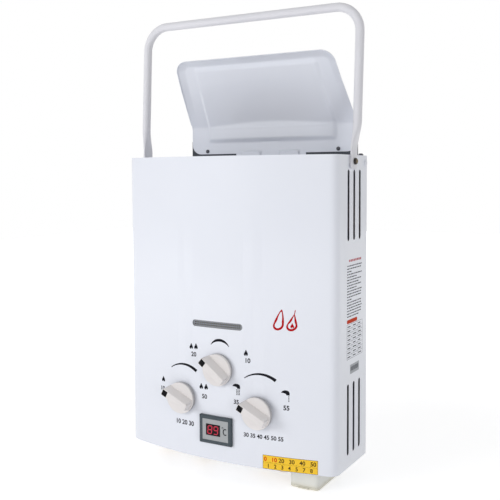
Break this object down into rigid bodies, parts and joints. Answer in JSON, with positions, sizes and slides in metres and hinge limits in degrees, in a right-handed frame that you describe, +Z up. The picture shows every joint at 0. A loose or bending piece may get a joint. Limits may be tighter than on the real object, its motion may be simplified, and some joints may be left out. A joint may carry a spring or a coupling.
{
  "type": "portable propane water heater",
  "caption": "Hanging tankless gas water heater: bowed steel cabinet with swinging carry handle, rain cap, flame window, pointer knobs, display and battery case.",
  "frame": {"origin": "centre of the hanging hole, at the back plate's rear face", "axes": "+Z up, +Y out of the back towards the wall, the bowed front faces -Y, +X to the right seen from the front"},
  "size_m": [0.3104, 0.127, 0.5696],
  "materials": {
    "white_paint": "gloss",
    "grey_zinc": "satin",
    "dark_zinc": "satin",
    "dark_steel": "satin",
    "copper": "satin",
    "brass": "satin",
    "die_cast": "satin",
    "knob_plastic": "satin",
    "black_plastic": "matte",
    "case_plastic": "satin",
    "bezel_metal": "satin",
    "plate_metal": "satin",
    "display_black": "gloss",
    "mica": "gloss",
    "ceramic": "gloss",
    "rubber": "matte",
    "red_silicone": "matte",
    "battery_wrap": "satin"
  },
  "bodies": {
    "cabinet": {"front_cover": "white_paint", "back_plate": "grey_zinc", "hanger_doubler": "grey_zinc", "top_plate": "grey_zinc", "bottom_plate": "grey_zinc", "cover_screws": "dark_steel", "handle_bolts": "dark_steel", "handle_washers": "black_plastic", "handle_nuts": "grey_zinc", "rain_cap": "white_paint", "cap_bracket": "dark_zinc", "cap_screws": "dark_steel", "window_mesh": "grey_zinc", "mica_window": "mica", "display_bezel": "bezel_metal", "display_plate": "plate_metal", "digit_module": "display_black", "flue_collar": "grey_zinc", "exchanger_shell": "copper", "exchanger_fins": "copper", "exchanger_tubes": "copper", "combustion_chamber": "copper", "chamber_brackets": "grey_zinc", "overheat_cutout": "black_plastic", "burner_bars": "grey_zinc", "burner_frame": "grey_zinc", "gas_manifold": "brass", "flame_electrodes": "ceramic", "igniter_box": "black_plastic", "ignition_lead": "red_silicone", "wiring_harness": "rubber", "gas_valve": "die_cast", "gas_solenoid": "dark_steel", "gas_inlet": "brass", "water_valve": "brass", "valve_cover": "brass", "diaphragm": "rubber", "micro_switch": "black_plastic", "water_inlet": "brass", "inlet_filter": "grey_zinc", "water_outlet": "brass", "cold_pipe": "copper", "hot_pipe": "copper", "battery_case": "case_plastic", "battery_contacts": "grey_zinc", "battery_pack": "battery_wrap", "door_pin": "grey_zinc"},
    "handle": {"carry_handle": "white_paint"},
    "flame_dial": {"flame_knob": "knob_plastic", "flame_pointer": "black_plastic", "flame_spindle": "brass"},
    "season_dial": {"season_knob": "knob_plastic", "season_pointer": "black_plastic", "season_spindle": "brass"},
    "temperature_dial": {"temperature_knob": "knob_plastic", "temperature_pointer": "black_plastic", "temperature_spindle": "brass"},
    "valve_rod": {"push_rod": "grey_zinc"},
    "drain": {"drain_plug": "brass"},
    "case_door": {"battery_door": "case_plastic"}
  },
  "joints": [
    {"name": "handle_swing", "type": "hinge", "parent": "cabinet", "child": "handle", "pos_m": [0, -0.047, 0.0146], "axis": [1, 0, 0], "range_deg": [-78, 159]},
    {"name": "flame_turn", "type": "hinge", "parent": "cabinet", "child": "flame_dial", "pos_m": [-0.0535, -0.1, -0.2735], "axis": [0, 1, 0], "range_deg": [0, 120]},
    {"name": "season_turn", "type": "hinge", "parent": "cabinet", "child": "season_dial", "pos_m": [0, -0.1, -0.2325], "axis": [0, 1, 0], "range_deg": [0, 105]},
    {"name": "temperature_turn", "type": "hinge", "parent": "cabinet", "child": "temperature_dial", "pos_m": [0.0525, -0.1, -0.278], "axis": [0, 1, 0], "range_deg": [0, 120]},
    {"name": "rod_push", "type": "slide", "parent": "cabinet", "child": "valve_rod", "axis": [-1, 0, 0], "range_m": [0, 0.003], "stiffness_N_per_m": 500, "springref_m": -0.002},
    {"name": "drain_unscrew", "type": "hinge", "parent": "cabinet", "child": "drain", "pos_m": [0.034, -0.056, -0.358], "axis": [0, 0, -1], "range_deg": [0, 360]},
    {"name": "door_swing", "type": "hinge", "parent": "cabinet", "child": "case_door", "pos_m": [0.0985, -0.0065, -0.368], "axis": [1, 0, 0], "range_deg": [0, 90]}
  ]
}
